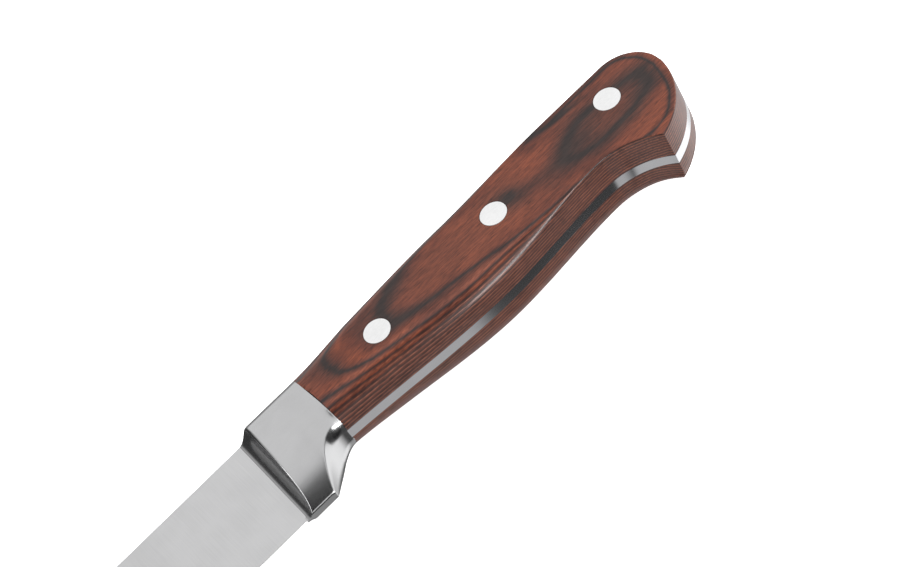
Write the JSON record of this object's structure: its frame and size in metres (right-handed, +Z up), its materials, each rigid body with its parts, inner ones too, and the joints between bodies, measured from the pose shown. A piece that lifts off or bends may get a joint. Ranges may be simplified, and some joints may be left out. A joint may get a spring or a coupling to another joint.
{
  "type": "kitchen utility knife",
  "caption": "Forged full-tang kitchen utility knife with a bolster and finger guard, and laminated dark wood handle scales held by flush rivets.",
  "frame": {"origin": "middle of the knife's length and height, on the surface that its lower handle face lies on", "axes": "+X along the straight spine towards the butt, +Y from the edge towards the spine, +Z up through the handle's thickness"},
  "size_m": [0.244, 0.0262, 0.017],
  "materials": {
    "steel": "satin blade and bolster sides, polished guard and tang edge",
    "wood": "polished laminated dyed veneer",
    "rivet": "ground flush, satin"
  },
  "bodies": {
    "root": {"forging": "steel", "scale_upper": "wood", "scale_lower": "wood", "rivet_sleeve_front": "rivet", "rivet_stud_front": "rivet", "rivet_sleeve_middle": "rivet", "rivet_stud_middle": "rivet", "rivet_sleeve_rear": "rivet", "rivet_stud_rear": "rivet"}
  },
  "joints": []
}
